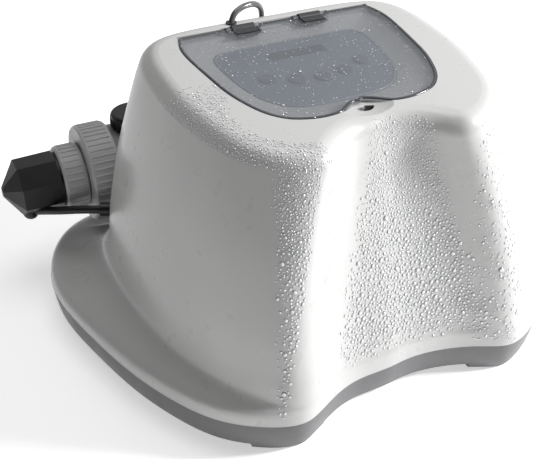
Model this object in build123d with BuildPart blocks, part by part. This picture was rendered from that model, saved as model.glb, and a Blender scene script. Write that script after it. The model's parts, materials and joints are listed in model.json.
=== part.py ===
"""Salt chlorine generator for a garden pool: a moulded power unit with a flow-through cell across its back.

Millimetres. +Z is up, the fluted front faces -Y, and the origin lies on the ground under the middle.
"""

import math
import os

from build123d import *

os.makedirs("parts", exist_ok=True)

# ---------------------------------------------------------------- driving dimensions
wall = 3.0
seam_z = 26.0
tray_floor_z = 6.0
foot_bottom_z = 1.0

# Half outlines, from the middle of the flute round the right side to the middle of the back.
# The three lists match point by point.
seam_outline = [
    (0, -143), (34, -144.5), (60, -153), (78, -161.5), (88, -163), (100, -160), (120, -149), (142, -128),
    (164, -88), (178, -49), (191, 3), (196, 44), (188, 85), (165, 119), (120, 136), (60, 139.5), (0, 140),
]
tower_base = [
    (0, -138), (32, -139.5), (58, -148), (76, -157.5), (86, -159), (96, -156), (111, -142), (126, -119),
    (139, -86), (147, -50), (151, -8), (150, 30), (143, 60), (126, 77), (90, 84), (45, 85), (0, 85),
]
tower_shoulder = [
    (0, -96), (17, -98), (29, -105), (38, -114), (47, -119), (59, -119), (77, -111), (95, -94),
    (107, -66), (114.5, -34), (117, -2), (116.5, 26), (110, 50), (95, 64.5), (67, 71), (33, 72), (0, 72),
]
tower_base_z = 50.0
shoulder_z = 200.0
width_power = 1.7

# The lid and the panel lie on a plane that rises towards the back.
top_slope = 0.10
top_front_y = -84.0
top_front_z = 201.0
top_round = 15.0

# Half outlines on that plane, from the middle of the front round the right side to the middle of the back.
lid_outline = [
    (0, -74), (6, -74.6), (15, -80), (23, -83.6), (34, -84), (46, -81.5), (57, -76), (66, -66), (73, -51),
    (78, -34), (81.5, -9), (84, 16), (83.5, 34), (80, 46), (72, 49.5), (36, 50), (0, 50),
]
panel_outline = [
    (0, -58), (8, -58), (16, -57.6), (24, -57), (32, -55.5), (40, -52), (47, -46), (53, -38), (57, -28),
    (60, -16), (62, 0), (63, 14), (62, 24), (58, 30), (50, 33), (25, 34), (0, 34),
]
lid_thickness = 2.6
lid_depth = 3.4
panel_depth = 9.0
panel_thickness = 2.5
well_block_depth = 14.0
panel_gap = 0.4
panel_ledge = 4.0
lid_gap = 0.6
lid_ledge = 5.0
scoop_y = -76.0
scoop_r = 60.0
scoop_dip = 3.5
cut_above = 12.0

hinge_x = 28.0
hinge_y = 48.6
hinge_half_width = 9.0
knuckle_trough_length = 90.0
knuckle_trough_r = 3.4
edge_trough_length = 160.0
edge_trough_r = 2.4
hinge_pin_r = 1.2
hinge_pin_depth = 1.1
running_gap = 0.05
knuckle_r = 2.5
knuckle_length = 4.0

button_r = 6.0
button_places = [("power", -38, -14), ("up", -19, -22), ("boost", 0, -25), ("down", 19, -22), ("lock", 38, -14)]
button_gap = 0.3
button_travel = 0.8
display_y = 14.0
board_depth = 20.0

# Water side: the cell chamber runs along X behind the tower.
pipe_y = 115.0
pipe_z = 85.0
pipe_r = 36.0
pipe_bore_r = 31.0
bay_r = 47.0
chamber_left = -137.0
chamber_right = 186.0
union_left = -146.0
union_right = -121.0
union_r = 40.5
cell_nut_left = -166.0
cell_nut_right = -146.5
cell_nut_r = 27.5
neck_r = 24.0
cap_r = 22.5
cap_corner_r = 24.6
cap_shoulder_x = -199.0
cap_tip_x = -212.0
port_x = 45.0
port_bore_r = 19.0
port_thread_r = 29.5
port_end_y = 163.0
sensor_x = -97.0
sensor_nut_r = 20.0
sensor_flange_thickness = 3.0
sensor_nut_top = 7.0
deck_pad_z = 45.0


# ---------------------------------------------------------------- shared outlines
def whole(half, inset=0.0):
    """Mirror a half outline about the middle plane, moved inwards by inset."""
    points = half + [(-x, y) for x, y in reversed(half[1:-1])]
    if inset == 0:
        return points
    moved = []
    for i, (x, y) in enumerate(points):
        before = points[i - 1]
        after = points[(i + 1) % len(points)]
        run_x = after[0] - before[0]
        run_y = after[1] - before[1]
        length = math.hypot(run_x, run_y)
        moved.append((x - inset * run_y / length, y + inset * run_x / length))
    return moved


def outline_parameters():
    """One curve parameter for each outline point, the same for every closed outline, so that sections match."""
    shares = [0.0] * (len(whole(seam_outline)) + 1)
    for half in (seam_outline, tower_base, tower_shoulder):
        points = whole(half)
        travel = [0.0]
        for i, point in enumerate(points):
            after = points[(i + 1) % len(points)]
            travel.append(travel[-1] + math.dist(point, after) ** 0.75)
        shares = [share + step / travel[-1] / 3 for share, step in zip(shares, travel)]
    return shares


def closed_outline(half, inset=0.0):
    """The smooth closed curve through a half outline and its mirror image."""
    points = [(x, y, 0) for x, y in whole(half, inset)]
    return Edge.make_spline(points, periodic=True, parameters=outline_parameters())


def tower_at(z):
    """The tower's half outline at height z: it narrows faster near the top."""
    rise = max(0.0, (z - tower_base_z) / (shoulder_z - tower_base_z))
    across = rise**width_power
    return [
        (xb + (xs - xb) * across, yb + (ys - yb) * rise)
        for (xb, yb), (xs, ys) in zip(tower_base, tower_shoulder)
    ]


def shell_at(z, share):
    """The shell's half outline, part way from the seam (share 0) to the tower (share 1)."""
    return [
        (xf + (xt - xf) * share, yf + (yt - yf) * share)
        for (xf, yf), (xt, yt) in zip(seam_outline, tower_at(z))
    ]


# Height and share of each section: the flange's edge, the deck, the blend and then the tower.
shell_sections = [
    (seam_z, 0.0), (32.0, 0.02), (36.0, 0.09), (38.5, 0.28), (40.5, 0.52), (43.5, 0.74), (49.0, 0.9),
    (58.0, 0.98), (72.0, 1.0), (98.0, 1.0), (130.0, 1.0), (160.0, 1.0), (185.0, 1.0), (200.0, 1.0), (222.0, 1.0),
]


def top_z(y):
    return top_front_z + top_slope * (y - top_front_y)


top_angle = math.degrees(math.atan(top_slope))
top_plane = Plane(
    origin=(0, 0, top_z(0)),
    x_dir=(1, 0, 0),
    z_dir=(0, -math.sin(math.radians(top_angle)), math.cos(math.radians(top_angle))),
)


def below_top(depth):
    """The lid's plane, moved down into the housing by depth."""
    return top_plane.offset(-depth)


def on_top(x, y, depth=0.0):
    """The point on that plane with these x and y."""
    spot = below_top(depth).from_local_coords((x, y / math.cos(math.radians(top_angle)), 0))
    return (spot.X, spot.Y, spot.Z)


def across_x(x):
    """A sketch plane across the cell's axis, seen from the left end."""
    return Plane(origin=(x, pipe_y, pipe_z), x_dir=(0, 1, 0), z_dir=(1, 0, 0))


def across_hinge(x):
    """A sketch plane across the hinge pins; its own axes run back and up."""
    centre = on_top(0, hinge_y, hinge_pin_depth)
    return Plane(origin=(x, centre[1], centre[2]), x_dir=(0, 1, 0), z_dir=(1, 0, 0))


def along(start, end):
    """A sketch plane at start whose normal points at end."""
    return Plane(origin=start, z_dir=Vector(*end) - Vector(*start))


def cable_path(route):
    """Straight runs joined by arcs, each as large as its two shorter runs allow."""
    spots = [Vector(*spot) for spot in route]
    radii = []
    for before, corner, after in zip(spots, spots[1:], spots[2:]):
        turn = (corner - before).get_angle(after - corner)
        shorter = min((corner - before).length, (after - corner).length)
        radii.append(0.45 * shorter / math.tan(math.radians(turn) / 2))
    print("arc radii", [round(radius, 1) for radius in radii])
    return FilletPolyline(*route, radius=radii)


def finish(part, name):
    part.label = name
    export_step(part, f"parts/{name}.step")


# ---------------------------------------------------------------- upper housing
screw_bosses = [(-119, -123, 43.0), (119, -123, 43.0), (-168, 92, 36.0), (168, 92, 36.0)]
screw_places = [(x, y) for x, y, top in screw_bosses]
boss_r = 6.0
tray_screw_r = 2.0
deck_underside_z = 34.0
pad_places = [(-78, 116), (96, 116)]
pad_length = 30.0
pad_width = 26.0
chamber_screw_r = 2.5
gland_spot = (-141.0, 60.0, 80.0)
gland_outer = (-153.0, 65.7, 80.0)
gland_r = 5.6
mains_spot = (149.0, 30.0, 66.0)
mains_r = 7.0
loop_base = (-33.0, 57.5)
grommet_r = 4.2

with BuildPart() as upper_housing:
    for z, share in shell_sections:
        with BuildSketch(Plane.XY.offset(z)):
            with BuildLine():
                add(closed_outline(shell_at(z, share)))
            make_face()
    loft()
    with BuildSketch(top_plane):
        Rectangle(500, 500)
    extrude(amount=60, mode=Mode.SUBTRACT)
    fillet(upper_housing.faces().sort_by(Axis.Z)[-1].edges(), radius=top_round)
    # The trough across the back that the cell chamber lies in.
    with BuildSketch(across_x(-220)):
        Circle(bay_r)
    extrude(amount=440, mode=Mode.SUBTRACT)
    # Two level pads on the deck for the chamber's feet.
    with BuildSketch(Plane.XY.offset(deck_underside_z)):
        with Locations(*pad_places):
            Rectangle(pad_length, pad_width)
    extrude(amount=deck_pad_z - deck_underside_z)

with BuildPart() as cavity:
    for z, share in shell_sections:
        with BuildSketch(Plane.XY.offset(z - wall)):
            with BuildLine():
                add(closed_outline(shell_at(z, share), inset=wall))
            make_face()
    loft()
    with BuildSketch(below_top(wall)):
        Rectangle(500, 500)
    extrude(amount=60, mode=Mode.SUBTRACT)
    fillet(cavity.faces().sort_by(Axis.Z)[-1].edges(), radius=top_round - wall)
    with BuildSketch(across_x(-220)):
        Circle(bay_r + wall)
    extrude(amount=440, mode=Mode.SUBTRACT)

with BuildPart() as lid_well:
    with BuildSketch(top_plane):
        with BuildLine():
            add(closed_outline(lid_outline, inset=-4.0))
        make_face()
    extrude(amount=-well_block_depth)

# The recess that slopes down from the lid's rebate to the panel.
with BuildPart() as panel_recess:
    with BuildSketch(below_top(panel_depth)):
        with BuildLine():
            add(closed_outline(panel_outline, inset=-panel_gap))
        make_face()
    with BuildSketch(below_top(lid_depth)):
        with BuildLine():
            add(closed_outline(lid_outline, inset=lid_ledge))
        make_face()
    loft()

# Everything above the panel: the lid's rebate, that recess, and the troughs where the lid's knuckles
# and its back edge turn.
with BuildPart() as lid_seat:
    with BuildSketch(below_top(lid_depth)):
        with BuildLine():
            add(closed_outline(lid_outline, inset=-lid_gap))
        make_face()
    extrude(amount=lid_depth + cut_above)
    add(panel_recess.part)
    for length, radius in ((knuckle_trough_length, knuckle_trough_r), (edge_trough_length, edge_trough_r)):
        with BuildSketch(across_hinge(-length / 2)):
            Circle(radius)
        extrude(amount=length)

with BuildPart() as housing_shell:
    add(upper_housing.part)
    add(cavity.part, mode=Mode.SUBTRACT)
    add(lid_well.part)
    add(lid_seat.part, mode=Mode.SUBTRACT)
    # The panel's seat, and the opening under it.
    with BuildSketch(below_top(panel_depth)):
        with BuildLine():
            add(closed_outline(panel_outline, inset=-panel_gap))
        make_face()
    extrude(amount=-panel_thickness, mode=Mode.SUBTRACT)
    with BuildSketch(below_top(panel_depth)):
        with BuildLine():
            add(closed_outline(panel_outline, inset=panel_ledge))
        make_face()
    extrude(amount=-well_block_depth, mode=Mode.SUBTRACT)
    # The finger scoop in front of the lid.
    with Locations(on_top(0, scoop_y, depth=scoop_dip - scoop_r)):
        Sphere(scoop_r, rotation=(90, 0, 0), mode=Mode.SUBTRACT)
    # Screw bosses under the deck, and clearance for the screws in the pads.
    boss_bottom_z = tray_floor_z + wall + 0.2
    for x, y, boss_top in screw_bosses:
        with BuildSketch(Plane.XY.offset(boss_bottom_z)):
            with Locations((x, y)):
                Circle(boss_r)
        extrude(amount=boss_top - boss_bottom_z)
    with BuildSketch(Plane.XY.offset(tray_floor_z)):
        with Locations(*screw_places):
            Circle(tray_screw_r)
    extrude(amount=20.0, mode=Mode.SUBTRACT)
    with BuildSketch(Plane.XY.offset(deck_underside_z - 4.0)):
        with Locations(*pad_places):
            Circle(chamber_screw_r + 0.3)
    extrude(amount=20.0, mode=Mode.SUBTRACT)
    # Holes for the glands and the sensor cable's grommet.
    with BuildSketch(along(gland_spot, gland_outer)):
        Circle(gland_r)
    extrude(amount=16.0, both=True, mode=Mode.SUBTRACT)
    with BuildSketch(Plane(origin=mains_spot, x_dir=(0, 1, 0), z_dir=(1, 0, 0))):
        Circle(mains_r)
    extrude(amount=14.0, both=True, mode=Mode.SUBTRACT)
    with BuildSketch(Plane.XY.offset(top_z(loop_base[1]) - 14.0)):
        with Locations(loop_base):
            Circle(grommet_r)
    extrude(amount=30.0, mode=Mode.SUBTRACT)
finish(housing_shell.part, "upper_housing")

# ---------------------------------------------------------------- base tray, feet and their fasteners
tray_inset = 0.6
tray_bottom_inset = 3.0
foot_inner_x = 62.0
foot_outer_x = 116.0

with BuildPart() as tray_block:
    for z, inset in ((tray_floor_z, tray_bottom_inset), (13.0, 1.4), (seam_z, tray_inset)):
        with BuildSketch(Plane.XY.offset(z)):
            with BuildLine():
                add(closed_outline(seam_outline, inset=inset))
            make_face()
    loft()

with BuildPart() as foot_columns:
    with BuildSketch(Plane.XY.offset(foot_bottom_z)):
        with BuildLine():
            add(closed_outline(seam_outline, inset=5.0))
        make_face()
    with BuildSketch(Plane.XY.offset(tray_floor_z + 0.5)):
        with BuildLine():
            add(closed_outline(seam_outline, inset=3.2))
        make_face()
    loft()
    with BuildSketch(Plane.XY):
        for side in (-1, 1):
            with Locations((side * (foot_inner_x + foot_outer_x) / 2, -148)):
                RectangleRounded(foot_outer_x - foot_inner_x, 54, 8)
            with Locations((side * 138, 103)):
                RectangleRounded(72, 56, 8)
    extrude(amount=20, mode=Mode.INTERSECT)

with BuildPart() as base_tray:
    add(tray_block.part)
    with BuildSketch(Plane.XY.offset(tray_floor_z + wall)):
        with BuildLine():
            add(closed_outline(seam_outline, inset=tray_inset + wall + 1.4))
        make_face()
    extrude(amount=40, mode=Mode.SUBTRACT)
    add(foot_columns.part)
    with BuildSketch(Plane.XY.offset(-1)):
        with Locations(*screw_places):
            Circle(tray_screw_r + 0.3)
    extrude(amount=30, mode=Mode.SUBTRACT)
    with BuildSketch(Plane.XY.offset(-1)):
        with Locations(*screw_places):
            Circle(4.6)
    extrude(amount=8.0, mode=Mode.SUBTRACT)
finish(base_tray.part, "base_tray")

# Soft pads under the four feet.
foot_pad_places = [(-88, -148), (88, -148), (-140, 108), (140, 108)]
with BuildPart() as foot_pads:
    with BuildSketch():
        with Locations(*foot_pad_places):
            Circle(8.0)
    extrude(amount=foot_bottom_z)
finish(foot_pads.part, "foot_pads")

with BuildPart() as housing_screws:
    with BuildSketch(Plane.XY.offset(4.2)):
        with Locations(*screw_places):
            Circle(4.2)
    extrude(amount=2.8)
    with BuildSketch(Plane.XY.offset(6.9)):
        with Locations(*screw_places):
            Circle(tray_screw_r - 0.05)
    extrude(amount=16.0)
    with BuildSketch(Plane.XY.offset(4.2)):
        with Locations(*screw_places):
            RegularPolygon(1.4, 6)
    extrude(amount=1.6, mode=Mode.SUBTRACT)
finish(housing_screws.part, "housing_screws")


# ---------------------------------------------------------------- lid and its hinge
bracket_proud = 0.6
bracket_front = 39.0
bracket_back = 50.0
lid_slot_length = 16.0
pin_length = 2 * hinge_half_width + 2 * knuckle_length + 1.0

with BuildPart() as lid:
    with BuildSketch(below_top(lid_thickness)):
        with BuildLine():
            add(closed_outline(lid_outline))
        make_face()
    extrude(amount=lid_thickness)
    # Slots in its back edge for the two brackets.
    with BuildSketch(below_top(lid_thickness + 1.0)):
        for side in (-1, 1):
            with Locations((side * hinge_x, bracket_front - lid_gap + lid_slot_length / 2)):
                Rectangle(2 * hinge_half_width + 1.2, lid_slot_length)
    extrude(amount=lid_thickness + 2.0, mode=Mode.SUBTRACT)
    for side in (-1, 1):
        for end in (-1, 1):
            inner = side * hinge_x + end * (hinge_half_width + 0.6)
            with BuildSketch(across_hinge(inner)):
                Circle(knuckle_r)
            extrude(amount=end * knuckle_length)
    for side in (-1, 1):
        with BuildSketch(across_hinge(side * hinge_x - pin_length / 2 - 0.5)):
            Circle(hinge_pin_r + running_gap)
        extrude(amount=pin_length + 1.0, mode=Mode.SUBTRACT)
finish(lid.part, "lid")

with BuildPart() as lid_hinge_pins:
    for side in (-1, 1):
        with BuildSketch(across_hinge(side * hinge_x - pin_length / 2)):
            Circle(hinge_pin_r)
        extrude(amount=pin_length)
finish(lid_hinge_pins.part, "lid_hinge_pins")

with BuildPart() as hinge_brackets:
    with BuildSketch(top_plane.offset(bracket_proud)):
        for side in (-1, 1):
            with Locations((side * hinge_x, (bracket_front + bracket_back) / 2)):
                RectangleRounded(2 * hinge_half_width, bracket_back - bracket_front, 1.5)
    extrude(amount=-bracket_proud - lid_depth)
    # The foot that fills the trough under the pin.
    for side in (-1, 1):
        with BuildSketch(across_hinge(side * hinge_x - hinge_half_width)):
            Circle(knuckle_trough_r)
        extrude(amount=2 * hinge_half_width)
    for side in (-1, 1):
        with BuildSketch(across_hinge(side * hinge_x - hinge_half_width - 1)):
            Circle(hinge_pin_r)
        extrude(amount=2 * hinge_half_width + 2, mode=Mode.SUBTRACT)
finish(hinge_brackets.part, "hinge_brackets")


# ---------------------------------------------------------------- control panel
window_size = (46.0, 11.0)
led_places = [(-40, 10), (-40, 18), (40, 10), (40, 18)]
led_r = 1.6
panel_boss_places = [(-44, 24), (44, 24), (-34, -40), (34, -40)]
panel_screw_r = 1.2

with BuildPart() as control_panel:
    with BuildSketch(below_top(panel_depth + panel_thickness)):
        with BuildLine():
            add(closed_outline(panel_outline))
        make_face()
        with Locations((0, display_y)):
            Rectangle(*window_size, mode=Mode.SUBTRACT)
        with Locations(*led_places):
            Circle(led_r, mode=Mode.SUBTRACT)
        with Locations(*[(x, y) for _, x, y in button_places]):
            Circle(button_r + button_gap, mode=Mode.SUBTRACT)
    extrude(amount=panel_thickness)
    # Bosses for the control board, hanging inside the panel's opening.
    with BuildSketch(below_top(board_depth)):
        with Locations(*panel_boss_places):
            Circle(3.0)
            Circle(panel_screw_r, mode=Mode.SUBTRACT)
    extrude(amount=board_depth - panel_depth - panel_thickness)
finish(control_panel.part, "control_panel")

with BuildPart() as display_window:
    with BuildSketch(below_top(panel_depth + panel_thickness)):
        with Locations((0, display_y)):
            Rectangle(*window_size)
    extrude(amount=panel_thickness)
finish(display_window.part, "display_window")

with BuildPart() as display_module:
    with BuildSketch(below_top(board_depth)):
        with Locations((0, display_y)):
            Rectangle(window_size[0] + 4, window_size[1] + 5)
    extrude(amount=board_depth - panel_depth - panel_thickness - 0.2)
finish(display_module.part, "display_module")

with BuildPart() as status_lenses:
    with BuildSketch(below_top(board_depth - 2.0)):
        with Locations(*led_places):
            Circle(led_r)
    extrude(amount=board_depth - 2.0 - panel_depth + 0.4)
finish(status_lenses.part, "status_lenses")

for label, x, y in button_places:
    with BuildPart() as button:
        with BuildSketch(below_top(panel_depth + panel_thickness + 0.2)):
            with Locations((x, y)):
                Circle(button_r)
        extrude(amount=panel_thickness + 1.6)
        fillet(button.edges().group_by(Axis.Z)[-1], radius=0.8)
        with BuildSketch(below_top(panel_depth + panel_thickness + 0.2)):
            with Locations((x, y)):
                Circle(button_r + 1.2)
        extrude(amount=-1.2)
        with BuildSketch(below_top(panel_depth + panel_thickness + 1.4)):
            with Locations((x, y)):
                Circle(2.0)
        extrude(amount=-2.0)
    finish(button.part, f"{label}_button")

with BuildPart() as control_board:
    with BuildSketch(below_top(board_depth + 1.6)):
        with Locations((0, -8)):
            RectangleRounded(100, 78, 3)
        with Locations(*panel_boss_places):
            Circle(panel_screw_r + 0.3, mode=Mode.SUBTRACT)
    extrude(amount=1.6)
finish(control_board.part, "control_board")

with BuildPart() as button_switches:
    with BuildSketch(below_top(board_depth)):
        with Locations(*[(x, y) for _, x, y in button_places]):
            Rectangle(6, 6)
    extrude(amount=board_depth - panel_depth - panel_thickness - 3.4 - button_travel - 0.3)
finish(button_switches.part, "button_switches")

with BuildPart() as panel_screws:
    with BuildSketch(below_top(board_depth + 3.4)):
        with Locations(*panel_boss_places):
            Circle(2.4)
    extrude(amount=1.8)
    with BuildSketch(below_top(board_depth + 1.6)):
        with Locations(*panel_boss_places):
            Circle(panel_screw_r - 0.05)
    extrude(amount=6.0)
finish(panel_screws.part, "panel_screws")


# ---------------------------------------------------------------- power electronics on the tray
board_z = 22.0
board_centre = (0.0, -22.0)
board_size = (150.0, 96.0)
standoff_places = [(-68, -62), (68, -62), (-68, 18), (68, 18)]

with BuildPart() as board_standoffs:
    with BuildSketch(Plane.XY.offset(tray_floor_z + wall)):
        with Locations(*standoff_places):
            Circle(3.5)
            Circle(1.5, mode=Mode.SUBTRACT)
    extrude(amount=board_z - tray_floor_z - wall)
finish(board_standoffs.part, "board_standoffs")

with BuildPart() as power_board:
    with BuildSketch(Plane.XY.offset(board_z)):
        with Locations(board_centre):
            RectangleRounded(*board_size, 3)
        with Locations(*standoff_places):
            Circle(1.8, mode=Mode.SUBTRACT)
    extrude(amount=1.6)
finish(power_board.part, "power_board")

board_top_z = board_z + 1.6
with BuildPart() as board_screws:
    with BuildSketch(Plane.XY.offset(board_top_z)):
        with Locations(*standoff_places):
            Circle(3.0)
    extrude(amount=2.2)
    with BuildSketch(Plane.XY.offset(board_top_z)):
        with Locations(*standoff_places):
            Circle(1.45)
    extrude(amount=-8.0)
finish(board_screws.part, "board_screws")

core_size = (56.0, 34.0, 48.0)
core_spot = (-34.0, -36.0)
limb = 9.0
with BuildPart() as transformer_core:
    with BuildSketch(Plane.XZ.offset(-core_spot[1] - core_size[1] / 2)):
        with Locations((core_spot[0], board_top_z + core_size[2] / 2)):
            Rectangle(core_size[0], core_size[2])
            with GridLocations(core_size[0] / 2 - limb / 2 + limb / 4, 1, 2, 1):
                Rectangle(core_size[0] / 2 - 1.5 * limb, core_size[2] - 2 * limb, mode=Mode.SUBTRACT)
    extrude(amount=core_size[1])
finish(transformer_core.part, "transformer_core")

with BuildPart() as transformer_coil:
    with BuildSketch(Plane.XY.offset(board_top_z + limb + 0.5)):
        with Locations(core_spot):
            RectangleRounded(core_size[0] - 2 * limb - 1.0, core_size[1] + 18, 5)
            Rectangle(limb + 6.0, core_size[1] + 1.0, mode=Mode.SUBTRACT)
    extrude(amount=core_size[2] - 2 * limb - 1.0)
finish(transformer_coil.part, "transformer_coil")

sink_spot = (48.0, -22.0)
with BuildPart() as heat_sink:
    with BuildSketch(Plane.XY.offset(board_top_z)):
        with Locations(sink_spot):
            Rectangle(4, 60)
        for i in range(8):
            with Locations((sink_spot[0] + 9, sink_spot[1] - 28 + i * 8)):
                Rectangle(16, 1.6)
    extrude(amount=38)
finish(heat_sink.part, "heat_sink")

with BuildPart() as rectifier:
    with BuildSketch(Plane.XY.offset(board_top_z + 8)):
        with Locations((sink_spot[0] - 2 - 3, sink_spot[1] - 12)):
            Rectangle(6, 26)
    extrude(amount=24)
finish(rectifier.part, "rectifier")

with BuildPart() as capacitors:
    with BuildSketch(Plane.XY.offset(board_top_z)):
        with Locations((20, 8), (20, -12)):
            Circle(9)
    extrude(amount=36)
    fillet(capacitors.edges().group_by(Axis.Z)[-1], radius=1.0)
finish(capacitors.part, "capacitors")

with BuildPart() as relay:
    with BuildSketch(Plane.XY.offset(board_top_z)):
        with Locations((-8, 12)):
            Rectangle(18, 14)
    extrude(amount=18)
    fillet(relay.edges().filter_by(Axis.Z), radius=1.0)
finish(relay.part, "relay")

with BuildPart() as terminal_block:
    with BuildSketch(Plane.XY.offset(board_top_z)):
        with Locations((-42, 12)):
            Rectangle(40, 12)
    extrude(amount=13)
    with BuildSketch(Plane.XY.offset(board_top_z + 13)):
        with Locations((-42, 12)):
            with GridLocations(9, 1, 4, 1):
                Circle(2.6)
    extrude(amount=-5, mode=Mode.SUBTRACT)
finish(terminal_block.part, "terminal_block")

with BuildPart() as fuse:
    with BuildSketch(Plane.YZ.offset(-10.0)):
        with Locations((-59, board_top_z + 6)):
            Circle(2.6)
    extrude(amount=20)
    with BuildSketch(Plane.XY.offset(board_top_z)):
        with Locations((-7, -59), (7, -59)):
            Rectangle(4, 8)
    extrude(amount=6)
finish(fuse.part, "fuse")

with BuildPart() as ribbon_cable:
    with BuildSketch(Plane.XY.offset(board_top_z)):
        with Locations((0, 22)):
            Rectangle(18, 1.0)
    extrude(amount=top_z(22) - board_depth - 2.0 - board_top_z)
finish(ribbon_cable.part, "ribbon_cable")


# ---------------------------------------------------------------- cell chamber and its two hose ports
feet_depth = 30.0
thread_rings = 5
thread_pitch = 4.0

with BuildPart() as cell_chamber:
    with BuildSketch(across_x(chamber_left)):
        Circle(pipe_r - 0.6)
    extrude(amount=chamber_right - chamber_left)
    # Round-section threads at both ends.
    for start in (chamber_left + 3.0, chamber_right - 16.0):
        for i in range(3):
            with BuildSketch(across_x(start + i * thread_pitch)):
                Circle(pipe_r)
            extrude(amount=1.8)
    for side in (-1, 1):
        with BuildSketch(Plane(origin=(side * port_x, pipe_y, pipe_z), x_dir=(1, 0, 0), z_dir=(0, 1, 0))):
            Circle(24.0)
        extrude(amount=port_end_y - pipe_y)
        with BuildSketch(Plane(origin=(side * port_x, port_end_y - 24, pipe_z), x_dir=(1, 0, 0), z_dir=(0, 1, 0))):
            Circle(28.0)
        extrude(amount=24)
        for i in range(thread_rings):
            ring_y = port_end_y - 3.5 - i * thread_pitch
            with BuildSketch(Plane(origin=(side * port_x, ring_y, pipe_z), x_dir=(1, 0, 0), z_dir=(0, 1, 0))):
                Circle(port_thread_r)
            extrude(amount=1.8)
    # Feet that stand on the deck's pads.
    with BuildSketch(Plane.XY.offset(deck_pad_z)):
        with Locations(*[(x, y) for x, y in pad_places]):
            Rectangle(pad_length - 4, pad_width - 4)
    extrude(amount=22.0)
    # The sensor's boss.
    with BuildSketch(Plane.XY.offset(pipe_z)):
        with Locations((sensor_x, pipe_y)):
            Circle(15.0)
    extrude(amount=pipe_r + 4.0)
    # The water's way through.
    with BuildSketch(across_x(chamber_left - 1)):
        Circle(pipe_bore_r)
    extrude(amount=chamber_right - chamber_left + 2, mode=Mode.SUBTRACT)
    for side in (-1, 1):
        with BuildSketch(Plane(origin=(side * port_x, pipe_y, pipe_z), x_dir=(1, 0, 0), z_dir=(0, 1, 0))):
            Circle(port_bore_r)
        extrude(amount=port_end_y - pipe_y + 1, mode=Mode.SUBTRACT)
    with BuildSketch(Plane.XY.offset(pipe_z)):
        with Locations((sensor_x, pipe_y)):
            Circle(11.0)
    extrude(amount=pipe_r + 10.0, mode=Mode.SUBTRACT)
    # Grooves for the two end seals, and the screws' holes in the feet.
    for face_x, way in ((chamber_left, 1), (chamber_right, -1)):
        with BuildSketch(across_x(face_x)):
            Circle(pipe_bore_r + 3.6)
            Circle(pipe_bore_r + 1.0, mode=Mode.SUBTRACT)
        extrude(amount=way * 2.0, mode=Mode.SUBTRACT)
    with BuildSketch(Plane.XY.offset(deck_pad_z - 1)):
        with Locations(*pad_places):
            Circle(chamber_screw_r)
    extrude(amount=9.0, mode=Mode.SUBTRACT)
finish(cell_chamber.part, "cell_chamber")

with BuildPart() as chamber_screws:
    with BuildSketch(Plane.XY.offset(deck_underside_z)):
        with Locations(*pad_places):
            Circle(5.0)
    extrude(amount=-3.0)
    with BuildSketch(Plane.XY.offset(deck_underside_z)):
        with Locations(*pad_places):
            Circle(chamber_screw_r - 0.05)
    extrude(amount=deck_pad_z + 7.0 - deck_underside_z)
finish(chamber_screws.part, "chamber_screws")


def seal_ring(x, ring_r, section_r, name):
    with BuildPart() as seal:
        with BuildSketch(Plane.XZ.offset(-pipe_y)):
            with Locations((x, pipe_z + ring_r)):
                Circle(section_r)
        revolve(axis=Axis((0, pipe_y, pipe_z), (1, 0, 0)))
    finish(seal.part, name)


seal_ring(chamber_left + 1.0, pipe_bore_r + 2.3, 1.0, "union_o_ring")
seal_ring(chamber_right - 1.0, pipe_bore_r + 2.3, 1.0, "end_cap_o_ring")


def ribbed_collar(left, right, outer_r, bore_r, lip_bore_r, lip, ribs, name, lip_at_left=True):
    """A threaded collar with lengthwise grip ribs and an inward lip at one end."""
    with BuildPart() as collar:
        with BuildSketch(across_x(left)):
            Circle(outer_r - 0.7)
        extrude(amount=right - left)
        chamfer(collar.edges(), length=1.4)
        with BuildSketch(across_x(left + 3.0)):
            with PolarLocations(outer_r - 0.9, ribs):
                Circle(0.9)
        extrude(amount=right - left - 6.0)
        bore_start = left + lip if lip_at_left else left - 1
        with BuildSketch(across_x(bore_start)):
            Circle(bore_r)
        extrude(amount=right - left - lip + 1, mode=Mode.SUBTRACT)
        with BuildSketch(across_x(left - 1)):
            Circle(lip_bore_r)
        extrude(amount=right - left + 2, mode=Mode.SUBTRACT)
    finish(collar.part, name)


ribbed_collar(union_left, union_right, union_r, pipe_r + 0.4, neck_r + 0.6, 3.5, 48, "union_nut")
ribbed_collar(cell_nut_left, cell_nut_right, cell_nut_r, neck_r + 0.4, cap_r + 0.5, 3.0, 32, "cell_nut")

# The screwed cap on the chamber's far end, with a six-sided boss to turn it by.
end_cap_left = 171.0
end_cap_face = chamber_right + 0.4
with BuildPart() as chamber_end_cap:
    with BuildSketch(across_x(end_cap_left)):
        Circle(union_r - 0.7)
    extrude(amount=end_cap_face + 4.0 - end_cap_left)
    chamfer(chamber_end_cap.edges(), length=1.4)
    with BuildSketch(across_x(end_cap_left + 3.0)):
        with PolarLocations(union_r - 0.9, 48):
            Circle(0.9)
    extrude(amount=end_cap_face - 2.0 - end_cap_left)
    with BuildSketch(across_x(end_cap_left - 1)):
        Circle(pipe_r + 0.4)
    extrude(amount=end_cap_face + 1 - end_cap_left, mode=Mode.SUBTRACT)
    with BuildSketch(across_x(end_cap_face + 4.0)):
        RegularPolygon(cap_r, 6)
    extrude(amount=-cap_tip_x - end_cap_face - 4.0)
    chamfer(chamber_end_cap.faces().sort_by(Axis.X)[-1].edges(), length=2.0)
finish(chamber_end_cap.part, "chamber_end_cap")


# ---------------------------------------------------------------- the cell that plugs into the chamber
head_flange_left = -141.0
ring_gap = 0.3

with BuildPart() as union_ring:
    with BuildSketch(across_x(union_left + 3.5 + ring_gap)):
        Circle(pipe_r - 1.0)
        Circle(neck_r + 0.6, mode=Mode.SUBTRACT)
    extrude(amount=head_flange_left - union_left - 3.5 - 2 * ring_gap)
finish(union_ring.part, "union_ring")

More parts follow.
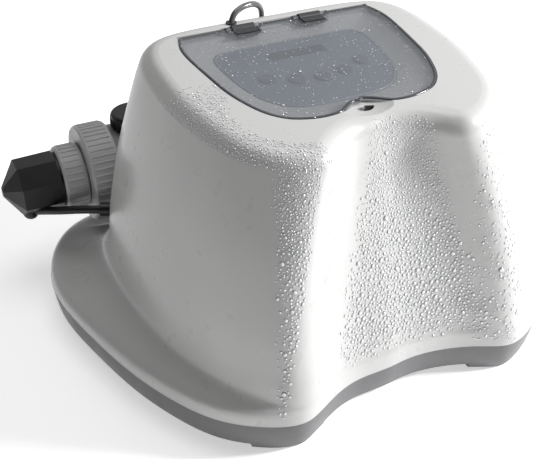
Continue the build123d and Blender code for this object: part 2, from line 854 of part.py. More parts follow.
with BuildPart() as cell_head:
    with BuildSketch(across_x(head_flange_left)):
        Circle(pipe_r - 0.8)
    extrude(amount=chamber_left - head_flange_left)
    with BuildSketch(across_x(chamber_left)):
        Circle(pipe_bore_r - 0.3)
    extrude(amount=10.0)
    with BuildSketch(across_x(-160.0)):
        Circle(neck_r - 0.6)
    extrude(amount=head_flange_left + 160.0)
    for i in range(2):
        with BuildSketch(across_x(-158.5 + i * thread_pitch)):
            Circle(neck_r)
        extrude(amount=1.8)
    with BuildSketch(across_x(-161)):
        Circle(16.0)
    extrude(amount=14.0, mode=Mode.SUBTRACT)
    # Groove for the seal in the chamber's bore.
    with BuildSketch(across_x(chamber_left + 4.0)):
        Circle(pipe_bore_r)
        Circle(pipe_bore_r - 2.3, mode=Mode.SUBTRACT)
    extrude(amount=2.4, mode=Mode.SUBTRACT)
    with BuildSketch(across_x(-150)):
        with Locations((-7, 0), (7, 0)):
            Circle(2.0)
    extrude(amount=40.0, mode=Mode.SUBTRACT)
finish(cell_head.part, "cell_head")

seal_ring(chamber_left + 5.2, pipe_bore_r - 1.15, 1.1, "cell_o_ring")

plate_left = chamber_left + 12.0
plate_length = 92.0
plate_height = 34.0
plate_gap = 7.0
plate_z = pipe_z - 4.0
with BuildPart() as electrode_plates:
    for i in range(5):
        plate_y = pipe_y + (i - 2) * plate_gap
        with BuildSketch(Plane.XZ.offset(-plate_y - 0.5)):
            with Locations((plate_left + plate_length / 2, plate_z)):
                Rectangle(plate_length, plate_height)
                with GridLocations(10, 10, 8, 3):
                    Circle(2.4, mode=Mode.SUBTRACT)
        extrude(amount=1.0)
finish(electrode_plates.part, "electrode_plates")

# Slotted combs that keep the plates apart, top and bottom at each end.
with BuildPart() as electrode_spacers:
    for x in (plate_left + 4.0, plate_left + plate_length - 8.0):
        for z in (plate_z + plate_height / 2 - 2.0, plate_z - plate_height / 2 - 4.0):
            with BuildSketch(Plane.XY.offset(z)):
                with Locations((x, pipe_y)):
                    Rectangle(6.0, 34.0)
            extrude(amount=6.0)
    with BuildSketch(Plane.XY.offset(plate_z - plate_height / 2)):
        with Locations((plate_left + plate_length / 2, pipe_y)):
            with GridLocations(1, plate_gap, 1, 5):
                Rectangle(plate_length, 1.02)
    extrude(amount=plate_height, mode=Mode.SUBTRACT)
finish(electrode_spacers.part, "electrode_spacers")

# Terminal studs run from the plug's sockets through the head to the outer plates' feet.
with BuildPart() as terminal_studs:
    for y in (-7.0, 7.0):
        with BuildSketch(Plane(origin=(-158.0, pipe_y + y, pipe_z), x_dir=(0, 1, 0), z_dir=(1, 0, 0))):
            Circle(1.95)
        extrude(amount=plate_left + 158.0)
finish(terminal_studs.part, "terminal_studs")

with BuildPart() as nut_ring:
    with BuildSketch(across_x(-161.2)):
        Circle(neck_r - 0.2)
        Circle(cap_r - 3.0, mode=Mode.SUBTRACT)
    extrude(amount=1.0)
finish(nut_ring.part, "cell_nut_seal")

with BuildPart() as cell_cap:
    with BuildSketch(across_x(-162.8)):
        Circle(neck_r)
    extrude(amount=1.4)
    with BuildSketch(across_x(-168.0)):
        Circle(cap_r)
    extrude(amount=5.4)
    with BuildSketch(across_x(cap_shoulder_x)):
        RegularPolygon(cap_corner_r - 0.8, 8, rotation=22.5)
    with BuildSketch(across_x(-168.0)):
        RegularPolygon(cap_corner_r, 8, rotation=22.5)
    loft()
    with BuildSketch(across_x(cap_tip_x)):
        RegularPolygon(4.0, 8, rotation=22.5)
    with BuildSketch(across_x(cap_shoulder_x)):
        RegularPolygon(cap_corner_r - 0.8, 8, rotation=22.5)
    loft()
    # The elbow that the cable leaves by.
    with Locations((-194.0, 107.0, 66.0)):
        Sphere(6.4)
finish(cell_cap.part, "cell_cap")


# ---------------------------------------------------------------- flow sensor
sensor_base_z = pipe_z + pipe_r + 4.0
paddle_axis_z = 117.0
paddle_x = sensor_x
with BuildPart() as flow_sensor_body:
    with BuildSketch(Plane.XY.offset(sensor_base_z + 2.4)):
        with Locations((sensor_x, pipe_y)):
            Circle(15.0)
    extrude(amount=sensor_flange_thickness)
    with BuildSketch(Plane.XY.offset(120.0)):
        with Locations((sensor_x, pipe_y)):
            Circle(10.6)
    extrude(amount=sensor_base_z + 2.4 - 120.0)
    for side in (-1, 1):
        with BuildSketch(Plane.XY.offset(paddle_axis_z - 3.0)):
            with Locations((sensor_x, pipe_y + side * 6.0)):
                Rectangle(5.0, 2.0)
        extrude(amount=120.0 - paddle_axis_z + 3.0)
    with BuildSketch(Plane.XZ.offset(-pipe_y - 10)):
        with Locations((paddle_x, paddle_axis_z)):
            Circle(1.0)
    extrude(amount=20, mode=Mode.SUBTRACT)
finish(flow_sensor_body.part, "flow_sensor_body")

with BuildPart() as flow_sensor_seal:
    with BuildSketch(Plane.XY.offset(sensor_base_z)):
        with Locations((sensor_x, pipe_y)):
            Circle(14.6)
            Circle(11.2, mode=Mode.SUBTRACT)
    extrude(amount=2.4)
finish(flow_sensor_seal.part, "flow_sensor_seal")

with BuildPart() as flow_sensor_nut:
    with BuildSketch(Plane.XY.offset(sensor_base_z - 9.0)):
        with Locations((sensor_x, pipe_y)):
            Circle(sensor_nut_r - 0.6)
    extrude(amount=9.0 + sensor_nut_top)
    fillet(flow_sensor_nut.edges().group_by(Axis.Z)[-1], radius=3.0)
    with BuildSketch(Plane.XY.offset(sensor_base_z - 8.0)):
        with Locations((sensor_x, pipe_y)):
            with PolarLocations(sensor_nut_r - 0.9, 28):
                Circle(0.9)
    extrude(amount=4.0 + sensor_nut_top)
    with BuildSketch(Plane.XY.offset(sensor_base_z - 10.0)):
        with Locations((sensor_x, pipe_y)):
            Circle(15.4)
    extrude(amount=13.0 + sensor_flange_thickness, mode=Mode.SUBTRACT)
    with Locations((sensor_x + 4.0, pipe_y - 2.0, sensor_base_z + sensor_nut_top)):
        Sphere(5.0)
    with BuildSketch(across_x(-60.0)):
        Circle(pipe_r + 0.3)
    extrude(amount=-80.0, mode=Mode.SUBTRACT)
    with BuildSketch(Plane.XY.offset(sensor_base_z - 10.0)):
        with Locations((sensor_x, pipe_y)):
            Circle(15.4)
    extrude(amount=13.0 + sensor_flange_thickness, mode=Mode.SUBTRACT)
finish(flow_sensor_nut.part, "flow_sensor_nut")

with BuildPart() as paddle_pin:
    with BuildSketch(Plane.XZ.offset(-pipe_y - 7.0)):
        with Locations((paddle_x, paddle_axis_z)):
            Circle(0.95)
    extrude(amount=14.0)
finish(paddle_pin.part, "paddle_pin")

with BuildPart() as flow_paddle:
    with BuildSketch(Plane.XZ.offset(-pipe_y - 4.4)):
        with Locations((paddle_x, paddle_axis_z)):
            Circle(2.2)
    extrude(amount=8.8)
    with BuildSketch(Plane.XY.offset(paddle_axis_z - 1.0)):
        with Locations((paddle_x, pipe_y)):
            Rectangle(1.4, 8.8)
    extrude(amount=-15.0)
    with BuildSketch(Plane.XZ.offset(-pipe_y - 7.0)):
        with Locations((paddle_x, paddle_axis_z)):
            Circle(0.95 + running_gap)
    extrude(amount=14.0, mode=Mode.SUBTRACT)
finish(flow_paddle.part, "flow_paddle")


# ---------------------------------------------------------------- glands, grommet and the two cables
cable_r = 3.3
sensor_cable_r = 2.25

with BuildPart() as cell_cable_gland:
    with BuildSketch(along(gland_spot, gland_outer)):
        Circle(gland_r - 0.05)
        Circle(cable_r, mode=Mode.SUBTRACT)
    extrude(amount=7.0, both=True)
finish(cell_cable_gland.part, "cell_cable_gland")

with BuildPart() as mains_gland:
    mains_plane = Plane(origin=mains_spot, x_dir=(0, 1, 0), z_dir=(1, 0, 0)).offset(1.8)
    with BuildSketch(mains_plane):
        RegularPolygon(9.0, 6)
    extrude(amount=5.0)
    with BuildSketch(mains_plane):
        Circle(mains_r - 0.05)
    extrude(amount=-12.0)
    with BuildSketch(mains_plane.offset(5.0)):
        Circle(7.0)
    extrude(amount=7.0, taper=10)
    with BuildSketch(mains_plane.offset(-14.0)):
        Circle(3.6)
    extrude(amount=30.0, mode=Mode.SUBTRACT)
finish(mains_gland.part, "mains_gland")

grommet_top = top_z(loop_base[1]) + 1.0
with BuildPart() as loop_grommet:
    with BuildSketch(Plane.XY.offset(grommet_top - 12.0)):
        with Locations(loop_base):
            Circle(grommet_r - 0.05)
            Circle(sensor_cable_r, mode=Mode.SUBTRACT)
    extrude(amount=12.0)
finish(loop_grommet.part, "loop_grommet")

# From the cap's elbow, past the collars, into the gland beside the tower's back corner.
cell_cable_route = [
    (-189.5, 103.0, 67.5), (-184.0, 95.5, 70.5), (-175.0, 85.0, 74.0), (-164.0, 75.0, 77.5), (-152.5, 66.0, 79.6),
    (-141.0, 60.0, 80.0),
]
with BuildPart() as cell_cable:
    with BuildLine() as cell_cable_line:
        cable_path(cell_cable_route)
    with BuildSketch(along(cell_cable_route[0], cell_cable_route[1])):
        Circle(cable_r)
    sweep()
finish(cell_cable.part, "cell_cable")

# Up out of the grommet in a small loop, over the back edge and down to the flow sensor.
sensor_cable_route = [
    (-33.0, 57.5, grommet_top - 11.0), (-33.0, 57.8, 215.5), (-29.8, 58.7, 221.8), (-21.8, 60.9, 225.0),
    (-11.5, 64.2, 224.8), (-3.0, 69.5, 219.5), (1.5, 75.5, 210.0), (2.5, 80.0, 197.5), (1.0, 83.5, 184.5),
    (-6.0, 88.0, 171.5), (-19.0, 94.0, 161.0), (-36.0, 100.0, 154.0), (-54.0, 105.0, 149.0), (-71.0, 109.0, 143.5),
    (-84.0, 111.5, 137.2), (-91.0, 112.7, 132.8),
]
with BuildPart() as sensor_cable:
    with BuildLine() as sensor_cable_line:
        cable_path(sensor_cable_route)
    with BuildSketch(along(sensor_cable_route[0], sensor_cable_route[1])):
        Circle(sensor_cable_r)
    sweep()
finish(sensor_cable.part, "sensor_cable")
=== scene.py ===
"""The looks of the salt chlorine generator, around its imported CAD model, in metres."""

import json
import math

import bmesh
import bpy
import numpy as np
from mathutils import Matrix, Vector
from mathutils.bvhtree import BVHTree


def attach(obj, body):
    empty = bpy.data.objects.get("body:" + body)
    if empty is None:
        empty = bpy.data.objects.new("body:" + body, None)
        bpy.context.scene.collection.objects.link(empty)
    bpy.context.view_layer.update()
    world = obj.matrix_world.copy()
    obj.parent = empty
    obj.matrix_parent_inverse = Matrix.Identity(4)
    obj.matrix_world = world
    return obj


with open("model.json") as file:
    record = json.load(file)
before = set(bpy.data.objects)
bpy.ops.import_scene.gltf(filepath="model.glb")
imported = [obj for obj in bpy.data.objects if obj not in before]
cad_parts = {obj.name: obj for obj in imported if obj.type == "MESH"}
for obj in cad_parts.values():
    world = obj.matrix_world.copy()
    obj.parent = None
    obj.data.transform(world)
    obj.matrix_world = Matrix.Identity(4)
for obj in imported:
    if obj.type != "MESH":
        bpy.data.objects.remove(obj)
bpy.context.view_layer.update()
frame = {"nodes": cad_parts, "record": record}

nodes = frame["nodes"]
scene = bpy.context.scene
scene.view_settings.view_transform = "Standard"
SEED = 7
rng = np.random.default_rng(SEED)

# ---------------------------------------------------------------- camera
CAMERA_PLACE = (-0.2827, -0.5000, 0.4440)
CAMERA_AZIMUTH = -26.6
CAMERA_ELEVATION = 34.2
FOCAL_PIXELS = 850.0
FRAME_PIXELS = 533.0
SENSOR_MM = 36.0


def make_camera():
    data = bpy.data.cameras.new("camera")
    data.sensor_width = SENSOR_MM
    data.lens = FOCAL_PIXELS / FRAME_PIXELS * SENSOR_MM
    camera = bpy.data.objects.new("camera", data)
    camera.location = CAMERA_PLACE
    camera.rotation_euler = (
        math.radians(90.0 - CAMERA_ELEVATION),
        0.0,
        math.radians(CAMERA_AZIMUTH),
    )
    scene.collection.objects.link(camera)
    scene.camera = camera


make_camera()


# ---------------------------------------------------------------- materials
CLOUD_SCALE = 18.0
GLOSS_SCALE = 60.0
METAL_GRAIN_SCALE = 700.0
METAL_GRAIN_DEPTH = 0.00001
HAZE_SCALE = 30.0
SMEAR_SCALE = 90.0


def new_material(name):
    material = bpy.data.materials.new(name)
    material.use_nodes = True
    tree = material.node_tree
    shader = tree.nodes["Principled BSDF"]
    return material, tree, shader


def coordinates(tree, scale=1.0):
    place = tree.nodes.new("ShaderNodeTexCoord")
    mapping = tree.nodes.new("ShaderNodeMapping")
    if not hasattr(scale, "__len__"):
        scale = (scale, scale, scale)
    mapping.inputs["Scale"].default_value = scale
    tree.links.new(place.outputs["Object"], mapping.inputs["Vector"])
    return mapping.outputs["Vector"]


def noise(tree, scale, detail=3.0, roughness=0.5, stretch=1.0):
    texture = tree.nodes.new("ShaderNodeTexNoise")
    texture.inputs["Scale"].default_value = scale
    texture.inputs["Detail"].default_value = detail
    texture.inputs["Roughness"].default_value = roughness
    tree.links.new(coordinates(tree, stretch), texture.inputs["Vector"])
    return texture.outputs["Fac"]


def ramp(tree, source, low, high, start=0.0, end=1.0):
    node = tree.nodes.new("ShaderNodeMapRange")
    node.inputs["From Min"].default_value = start
    node.inputs["From Max"].default_value = end
    node.inputs["To Min"].default_value = low
    node.inputs["To Max"].default_value = high
    tree.links.new(source, node.inputs["Value"])
    return node.outputs["Result"]


def colour_between(tree, source, first, second):
    node = tree.nodes.new("ShaderNodeMix")
    node.data_type = "RGBA"
    node.inputs["A"].default_value = (*first, 1.0)
    node.inputs["B"].default_value = (*second, 1.0)
    tree.links.new(source, node.inputs["Factor"])
    return node.outputs["Result"]


def add_bump(tree, shader, source, distance, strength=1.0):
    node = tree.nodes.new("ShaderNodeBump")
    node.inputs["Distance"].default_value = distance
    node.inputs["Strength"].default_value = strength
    tree.links.new(source, node.inputs["Height"])
    tree.links.new(node.outputs["Normal"], shader.inputs["Normal"])


def shade(colour, factor):
    return tuple(min(1.0, part * factor) for part in colour)


def moulded_plastic(name, colour, roughness, spread, grain, depth, contrast, coat):
    """Injection-moulded plastic: faint cloudiness, fine grain and a slightly uneven gloss."""
    material, tree, shader = new_material(name)
    cloud = noise(tree, CLOUD_SCALE, 4.0)
    tone = colour_between(tree, cloud, shade(colour, 1.0 - contrast), shade(colour, 1.0 + contrast))
    tree.links.new(tone, shader.inputs["Base Color"])
    uneven = noise(tree, GLOSS_SCALE, 5.0)
    gloss = ramp(tree, uneven, roughness - spread, roughness + spread, 0.3, 0.7)
    tree.links.new(gloss, shader.inputs["Roughness"])
    add_bump(tree, shader, noise(tree, grain, 2.0), depth)
    shader.inputs["Coat Weight"].default_value = coat
    shader.inputs["Coat Roughness"].default_value = 0.12
    return material


def metal(name, colour, roughness, stretch):
    """Bare metal with a fine grain, which can run along one axis."""
    material, tree, shader = new_material(name)
    grain = noise(tree, METAL_GRAIN_SCALE, 4.0, stretch=stretch)
    tone = colour_between(tree, grain, shade(colour, 0.85), shade(colour, 1.1))
    tree.links.new(tone, shader.inputs["Base Color"])
    gloss = ramp(tree, grain, roughness - 0.08, roughness + 0.12)
    tree.links.new(gloss, shader.inputs["Roughness"])
    shader.inputs["Metallic"].default_value = 1.0
    add_bump(tree, shader, grain, METAL_GRAIN_DEPTH)
    return material


def smoked_clear(name, colour, alpha, roughness):
    """Tinted clear plastic that shows what lies under it."""
    material, tree, shader = new_material(name)
    haze = noise(tree, HAZE_SCALE, 3.0)
    tone = colour_between(tree, haze, shade(colour, 0.92), shade(colour, 1.08))
    tree.links.new(tone, shader.inputs["Base Color"])
    smears = noise(tree, SMEAR_SCALE, 4.0)
    gloss = ramp(tree, smears, roughness * 0.6, roughness * 1.5)
    tree.links.new(gloss, shader.inputs["Roughness"])
    shader.inputs["Alpha"].default_value = alpha
    return material


def water(name, colour, alpha, painted_glow):
    """One part of a drop of water: its bright middle with a painted glow, or its darker rim, which
    is painted shade.
    """
    material, tree, shader = new_material(name)
    shader.inputs["Base Color"].default_value = (*colour, 1.0)
    shader.inputs["Alpha"].default_value = alpha
    # The emission is a painted glow: the drop lights itself though it is no lamp.
    shader.inputs["Emission Color"].default_value = (1.0, 1.0, 1.0, 1.0)
    shader.inputs["Emission Strength"].default_value = painted_glow
    shader.inputs["Roughness"].default_value = 0.06
    shader.inputs["IOR"].default_value = 1.6
    shader.inputs["Coat Weight"].default_value = 1.0
    shader.inputs["Coat Roughness"].default_value = 0.04
    return material


# Colour, roughness, its spread, grain scale, grain depth, cloud contrast and coat.
PLASTICS = {
    "white_plastic": ((0.55, 0.55, 0.545), 0.3, 0.04, 900.0, 0.000006, 0.012, 0.2),
    "grey_plastic": ((0.15, 0.15, 0.155), 0.48, 0.06, 1600.0, 0.00004, 0.06, 0.0),
    "soft_pad": ((0.05, 0.05, 0.05), 0.8, 0.05, 1200.0, 0.00004, 0.05, 0.0),
    "dark_plastic": ((0.035, 0.036, 0.04), 0.45, 0.06, 1500.0, 0.00003, 0.1, 0.0),
    "lid_edge": ((0.05, 0.052, 0.058), 0.18, 0.04, 1400.0, 0.00001, 0.1, 0.3),
    "panel_edge": ((0.3, 0.32, 0.35), 0.3, 0.05, 1400.0, 0.00001, 0.05, 0.0),
    "panel_blue_grey": ((0.17, 0.19, 0.25), 0.42, 0.06, 1500.0, 0.00002, 0.06, 0.0),
    "button_rubber": ((0.09, 0.1, 0.15), 0.6, 0.06, 1300.0, 0.00003, 0.08, 0.0),
    "circuit_board": ((0.02, 0.12, 0.05), 0.35, 0.05, 900.0, 0.00003, 0.15, 0.0),
    "coil_tape": ((0.62, 0.38, 0.06), 0.4, 0.05, 500.0, 0.00008, 0.1, 0.0),
    "relay_blue": ((0.02, 0.09, 0.35), 0.3, 0.06, 1400.0, 0.00002, 0.05, 0.0),
    "terminal_green": ((0.02, 0.22, 0.08), 0.35, 0.06, 1400.0, 0.00002, 0.05, 0.0),
    "ribbon_grey": ((0.35, 0.35, 0.37), 0.5, 0.05, 800.0, 0.0001, 0.05, 0.0),
    "pipe_grey": ((0.13, 0.13, 0.135), 0.42, 0.06, 1300.0, 0.00003, 0.08, 0.0),
    "collar_grey": ((0.46, 0.46, 0.46), 0.42, 0.06, 1300.0, 0.00003, 0.06, 0.0),
    "seal_rubber": ((0.02, 0.02, 0.02), 0.6, 0.05, 1400.0, 0.00002, 0.05, 0.0),
    "black_plastic": ((0.005, 0.005, 0.0055), 0.42, 0.06, 1500.0, 0.00003, 0.1, 0.0),
    "black_cable": ((0.01, 0.01, 0.011), 0.42, 0.05, 1800.0, 0.00003, 0.1, 0.0),
    "grey_cable": ((0.12, 0.12, 0.125), 0.22, 0.04, 1500.0, 0.00001, 0.06, 0.4),
}
# Colour, roughness and the grain's stretch along each axis.
METALS = {
    "steel": ((0.62, 0.62, 0.63), 0.28, (1.0, 1.0, 1.0)),
    "brass": ((0.72, 0.5, 0.2), 0.3, (1.0, 1.0, 1.0)),
    "core_steel": ((0.2, 0.2, 0.21), 0.5, (1.0, 40.0, 1.0)),
    "aluminium": ((0.72, 0.73, 0.74), 0.35, (1.0, 1.0, 20.0)),
    "titanium": ((0.42, 0.4, 0.38), 0.45, (1.0, 1.0, 1.0)),
}
# Colour, alpha and roughness.
CLEAR_PLASTICS = {
    "smoked_lid": ((0.27, 0.285, 0.31), 0.34, 0.07),
    "display_glass": ((0.02, 0.02, 0.03), 0.75, 0.05),
    "lens": ((0.75, 0.77, 0.75), 0.5, 0.1),
}
MATERIALS = {}
for maker, table in ((moulded_plastic, PLASTICS), (metal, METALS), (smoked_clear, CLEAR_PLASTICS)):
    for name, facts in table.items():
        MATERIALS[name] = maker(name, *facts)
# The middle of each drop: near-white water with a painted glow.
WATER_PAINTED_GLOW = water("water", (0.85, 0.86, 0.87), 0.8, 0.12)
# The rim round each drop: a dark painted shade for the drop's shadowed edge.
WATER_PAINTED_SHADE_RIM = water("water_painted_shade_rim", (0.16, 0.165, 0.17), 0.7, 0.0)


def dress_nodes():
    """Every CAD node gets the material of its slot in the record."""
    slots = {row["node"]: row["material_slot"] for row in frame["record"]["subparts"]}
    for name, node in nodes.items():
        node.data.materials.clear()
        node.data.materials.append(MATERIALS[slots[name]])


dress_nodes()


# ---------------------------------------------------------------- floor and light
FLOOR_HALF = 30.0
FLOOR_GLOW = 0.5
BRIGHT_SIDE = (0.65, 0.72, 0.25)
DARK_BELOW = -0.4
WORLD_STRENGTH = 0.52
LIGHT_TARGET = (0.0, 0.0, 0.1)
KEY_SIZE = 0.24
KEY_POWER = 27.0
TOP_SIZE = 0.8
TOP_POWER = 4.2


def make_floor():
    mesh = bpy.data.meshes.new("floor")
    signs = ((-1, -1), (1, -1), (1, 1), (-1, 1))
    corners = [(x * FLOOR_HALF, y * FLOOR_HALF, 0.0) for x, y in signs]
    mesh.from_pydata(corners, [], [(0, 1, 2, 3)])
    floor = bpy.data.objects.new("floor", mesh)
    scene.collection.objects.link(floor)
    material, tree, shader = new_material("floor")
    shader.inputs["Base Color"].default_value = (0.93, 0.93, 0.93, 1.0)
    shader.inputs["Roughness"].default_value = 0.9
    shader.inputs["Emission Color"].default_value = (1.0, 1.0, 1.0, 1.0)
    shader.inputs["Emission Strength"].default_value = FLOOR_GLOW
    mesh.materials.append(material)


def area_light(name, place, size, power):
    """A square light of this size, aimed at the middle of the object."""
    data = bpy.data.lights.new(name, "AREA")
    data.shape = "RECTANGLE"
    data.size = size
    data.size_y = size
    data.energy = power
    light = bpy.data.objects.new(name, data)
    light.location = place
    aim = Vector(LIGHT_TARGET) - Vector(place)
    light.rotation_euler = aim.to_track_quat("-Z", "Y").to_euler()
    scene.collection.objects.link(light)


def make_world():
    """A soft studio, brightest from the back right and dark from the front left."""
    world = bpy.data.worlds.new("world")
    world.use_nodes = True
    tree = world.node_tree
    place = tree.nodes.new("ShaderNodeTexCoord")
    towards = tree.nodes.new("ShaderNodeVectorMath")
    towards.operation = "DOT_PRODUCT"
    towards.inputs[1].default_value = BRIGHT_SIDE
    tree.links.new(place.outputs["Generated"], towards.inputs[0])
    strength = ramp(tree, towards.outputs["Value"], 0.0, WORLD_STRENGTH, DARK_BELOW, 1.0)
    background = tree.nodes["Background"]
    background.inputs["Color"].default_value = (1.0, 1.0, 1.0, 1.0)
    tree.links.new(strength, background.inputs["Strength"])
    scene.world = world


make_floor()
make_world()
area_light("key_right", (1.05, -0.55, 0.75), KEY_SIZE, KEY_POWER)
area_light("top", (0.0, 0.15, 1.25), TOP_SIZE, TOP_POWER)


# ---------------------------------------------------------------- lid edge and panel edge
TOP_TOLERANCE = 0.00003
BEAD_SPACING = 0.0012
# Pairs of distance inwards from the edge and height above it, across each bead.
LID_BEAD = ((0.0, -0.0008), (0.0, 0.0001), (0.0008, 0.00035), (0.0019, 0.0002), (0.0021, -0.0008))
PANEL_BEAD = (
    (0.0004, -0.0006), (0.0006, 0.0004), (0.0013, 0.0007), (0.002, 0.0004), (0.0022, -0.0006),
)


def flat_top(node):
    """A node's top face: its normal, and the closed loop of points round it, in order."""
    mesh = nodes[node].data
    upward = [face for face in mesh.polygons if face.normal.z > 0.9]
    largest = max(upward, key=lambda face: face.area)
    normal = largest.normal.copy()
    height = largest.center.dot(normal)
    flat = {
        vertex.index
        for vertex in mesh.vertices
        if abs(vertex.co.dot(normal) - height) < TOP_TOLERANCE
    }
    sides = {}
    for face in upward:
        if not all(index in flat for index in face.vertices):
            continue
        for first, second in face.edge_keys:
            sides[(first, second)] = sides.get((first, second), 0) + 1
    after = {}
    for (first, second), count in sides.items():
        if count == 1:
            after.setdefault(first, []).append(second)
            after.setdefault(second, []).append(first)
    loops = []
    unused = set(after)
    while unused:
        start = unused.pop()
        loop = [start]
        while True:
            following = [index for index in after[loop[-1]] if index in unused]
            if not following:
                break
            unused.discard(following[0])
            loop.append(following[0])
        loops.append([mesh.vertices[index].co.copy() for index in loop])

    def length(loop):
        return sum((a - b).length for a, b in zip(loop, loop[1:]))

    return normal, max(loops, key=length)


def even_loop(loop, spacing):
    """The same closed loop with evenly spaced points."""
    closed = loop + [loop[0]]
    steps = [(b - a).length for a, b in zip(closed, closed[1:])]
    travel = np.concatenate([[0.0], np.cumsum(steps)])
    count = int(travel[-1] / spacing)
    marks = np.linspace(0.0, travel[-1], count, endpoint=False)
    columns = [np.interp(marks, travel, [point[k] for point in closed]) for k in range(3)]
    return np.stack(columns, axis=1)


def edge_bead(name, node, body, material, section):
    """A bead round a node's top edge; section lists (inwards, height) pairs across it."""
    normal, loop = flat_top(node)
    points = even_loop(loop, BEAD_SPACING)
    middle = points.mean(axis=0)
    count = len(points)
    verts = []
    for i in range(count):
        tangent = Vector(points[(i + 2) % count] - points[i - 2]).normalized()
        inward = normal.cross(tangent).normalized()
        if inward.dot(Vector(middle - points[i])) < 0:
            inward = -inward
        for across, height in section:
            verts.append(Vector(points[i]) + inward * across + normal * height)
    width = len(section)
    faces = []
    for i in range(count):
        following = (i + 1) % count
        for k in range(width):
            side = (k + 1) % width
            near = i * width
            far = following * width
            faces.append((near + k, far + k, far + side, near + side))
    mesh = bpy.data.meshes.new(name)
    mesh.from_pydata(verts, [], faces)
    cleaned = bmesh.new()
    cleaned.from_mesh(mesh)
    bmesh.ops.recalc_face_normals(cleaned, faces=cleaned.faces)
    cleaned.to_mesh(mesh)
    cleaned.free()
    mesh.polygons.foreach_set("use_smooth", [True] * len(mesh.polygons))
    mesh.materials.append(material)
    bead = bpy.data.objects.new(name, mesh)
    scene.collection.objects.link(bead)
    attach(bead, body)


edge_bead("lid_edge", "lid", "lid", MATERIALS["lid_edge"], LID_BEAD)
edge_bead("panel_edge", "control_panel", "housing", MATERIALS["panel_edge"], PANEL_BEAD)


# ---------------------------------------------------------------- water drops
# Each drop's rings, as shares of its radius outwards and upwards, and its top.
# The band between these two rings carries the painted-shade rim.
DROP_RINGS = ((1.0, 0.0), (0.74, 0.42))
DROP_HEIGHT = 0.62
DROP_SIDES = 8
WALL_REACH = 0.3
SHOULDER_MIDDLE = (-0.042, -0.062)
DROP_SIZE_SPREAD = 0.26
HOUSING_SAMPLES = 340000
LID_SAMPLES = 900
LID_DROP_RADIUS = 0.0005


def drop_mesh(name, spots, body):
    """Low domes of water, each sitting on the surface at (place, normal, radius)."""
    verts = []
    faces = []
    for place, normal, radius in spots:
        across = normal.orthogonal().normalized()
        along = normal.cross(across)
        sink = place - normal * radius * 0.05
        start = len(verts)
        squeeze = 1.0 + rng.uniform(-0.14, 0.14)
        turn = rng.uniform(0.0, math.tau)
        for share, height in DROP_RINGS:
            for k in range(DROP_SIDES):
                angle = turn + k * math.tau / DROP_SIDES
                spot = across * math.cos(angle) * squeeze + along * math.sin(angle) / squeeze
                verts.append(sink + spot * radius * share + normal * radius * height)
        verts.append(sink + normal * radius * DROP_HEIGHT)
        for k in range(DROP_SIDES):
            following = (k + 1) % DROP_SIDES
            upper = start + DROP_SIDES
            faces.append((start + k, start + following, upper + following, upper + k))
            faces.append((upper + k, upper + following, upper + DROP_SIDES))
        faces.append(tuple(start + k for k in reversed(range(DROP_SIDES))))
    mesh = bpy.data.meshes.new(name)
    mesh.from_pydata(verts, [], faces)
    mesh.polygons.foreach_set("use_smooth", [True] * len(mesh.polygons))
    mesh.materials.append(WATER_PAINTED_GLOW)
    mesh.materials.append(WATER_PAINTED_SHADE_RIM)
    # Side quads take the painted-shade rim; the top fan and the base take the painted-glow middle.
    for face in mesh.polygons:
        face.material_index = int(len(face.vertices) == 4)
    piece = bpy.data.objects.new(name, mesh)
    scene.collection.objects.link(piece)
    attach(piece, body)
    return piece


def surface_samples(node, count):
    """Random places on a node's surface, with the normals there."""
    mesh = nodes[node].data
    mesh.calc_loop_triangles()
    corners = np.empty((len(mesh.vertices), 3))
    mesh.vertices.foreach_get("co", corners.ravel())
    triangles = np.empty((len(mesh.loop_triangles), 3), dtype=int)
    mesh.loop_triangles.foreach_get("vertices", triangles.ravel())
    a, b, c = (corners[triangles[:, k]] for k in range(3))
    cross = np.cross(b - a, c - a)
    area = np.linalg.norm(cross, axis=1)
    pick = rng.choice(len(area), size=count, p=area / area.sum())
    u = np.sqrt(rng.random((count, 1)))
    v = rng.random((count, 1))
    places = a[pick] * (1 - u) + b[pick] * (u * (1 - v)) + c[pick] * (u * v)
    normals = cross[pick] / area[pick][:, None]
    tree = BVHTree.FromPolygons(corners.tolist(), triangles.tolist())
    return places, normals, tree


def scatter(node, count, density, radius_at):
    """Drops on a node's outer skin, thinned by density, biggest first and clear of each other."""
    places, normals, tree = surface_samples(node, count)
    chosen = rng.random(count) < density(places, normals)
    places = places[chosen]
    normals = normals[chosen]
    radii = radius_at(places) * np.exp(rng.normal(0.0, DROP_SIZE_SPREAD, len(places)))
    cell = 2.2 * radii.max()
    kept = {}
    spots = []
    for index in np.argsort(-radii):
        place = places[index]
        radius = radii[index]
        column, row, layer = (int(part) for part in np.floor(place / cell))
        near = [
            other
            for i in (-1, 0, 1)
            for j in (-1, 0, 1)
            for k in (-1, 0, 1)
            for other in kept.get((column + i, row + j, layer + k), ())
        ]
        if any(math.dist(place, other) < 1.02 * (radius + reach) for other, reach in near):
            continue
        start = Vector(place) + Vector(normals[index]) * 0.001
        if tree.ray_cast(start, Vector(normals[index]), WALL_REACH)[0] is not None:
            continue
        kept.setdefault((column, row, layer), []).append((place, radius))
        spots.append((Vector(place), Vector(normals[index]), float(radius)))
    return spots


def fade(value, none, full):
    """0 at none, 1 at full, smooth between."""
    share = np.clip((value - none) / (full - none), 0.0, 1.0)
    return share * share * (3.0 - 2.0 * share)


def leaning(z, middle, height, slope):
    """How far right a leaning line is at height z, if it is at middle at the given height."""
    return middle + slope * (height - z)


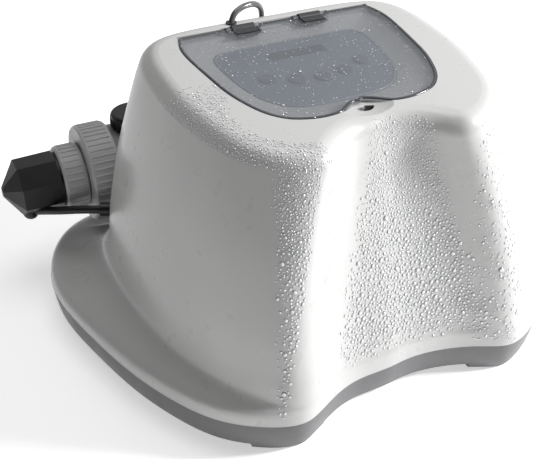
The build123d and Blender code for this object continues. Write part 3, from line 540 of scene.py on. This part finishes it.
def housing_wetness(places, normals):
    """Spray on the left shoulder and ridge, in the flute and on the right ridge."""
    x, y, z = places.T
    upright = normals[:, 2]
    outside = (z > 0.03) & (y < 0.0)
    # The left front shoulder: its rounding and the rim of the flat top inside it.
    from_middle = np.hypot(x - SHOULDER_MIDDLE[0], y - SHOULDER_MIDDLE[1])
    shoulder = fade(upright, 0.35, 0.55) * fade(from_middle, 0.043, 0.051) * fade(z, 0.175, 0.185)
    shoulder = shoulder * fade(y, -0.012, -0.05) * (x < -0.048)
    # A band that narrows downwards beside the left ridge.
    ridge = leaning(z, -0.057, 0.186, -0.28)
    far_side = leaning(z, -0.082, 0.188, -0.13)
    left = fade(x, ridge + 0.0015, ridge - 0.001) * fade(x, far_side - 0.004, far_side + 0.006)
    left = left * (y < -0.08)
    left = left * fade(upright, 0.6, 0.5) * (0.45 + 0.55 * fade(z, 0.08, 0.15))
    # The flute, from left of its middle to the dry strip on its right wall.
    start = leaning(z, -0.014, 0.174, -0.30)
    end = leaning(z, 0.0345, 0.175, 0.22)
    flute = fade(x, start - 0.003, start + 0.018) * fade(x, end + 0.005, end - 0.003)
    flute = flute * fade(upright, 0.8, 0.65) * (y < -0.085) * fade(z, 0.036, 0.06)
    # A few on the right ridge.
    right = 0.12 * fade(x, 0.055, 0.062) * fade(x, 0.1, 0.08) * (y < -0.1)
    right = right * fade(upright, 0.8, 0.5)
    return outside * np.clip(left + shoulder + flute + right, 0.0, 1.0)


def housing_drop_radius(places):
    """Fine mist near the top, fatter drops lower down."""
    return 0.00048 + 0.00034 * fade(places[:, 2], 0.195, 0.09)


def lid_wetness(places, normals):
    return fade(normals[:, 2], 0.9, 0.98)


def lid_drop_radius(places):
    return np.full(len(places), LID_DROP_RADIUS)


def add_drops():
    spots = scatter("upper_housing", HOUSING_SAMPLES, housing_wetness, housing_drop_radius)
    groups = {
        "drops_left": [spot for spot in spots if spot[0].x < -0.055],
        "drops_flute_low": [spot for spot in spots if spot[0].x >= -0.055 and spot[0].z < 0.13],
        "drops_flute_high": [spot for spot in spots if spot[0].x >= -0.055 and spot[0].z >= 0.13],
    }
    for name, group in groups.items():
        print(name, len(group))
        drop_mesh(name, group, "housing")
    drop_mesh("drops_lid", scatter("lid", LID_SAMPLES, lid_wetness, lid_drop_radius), "lid")


add_drops()
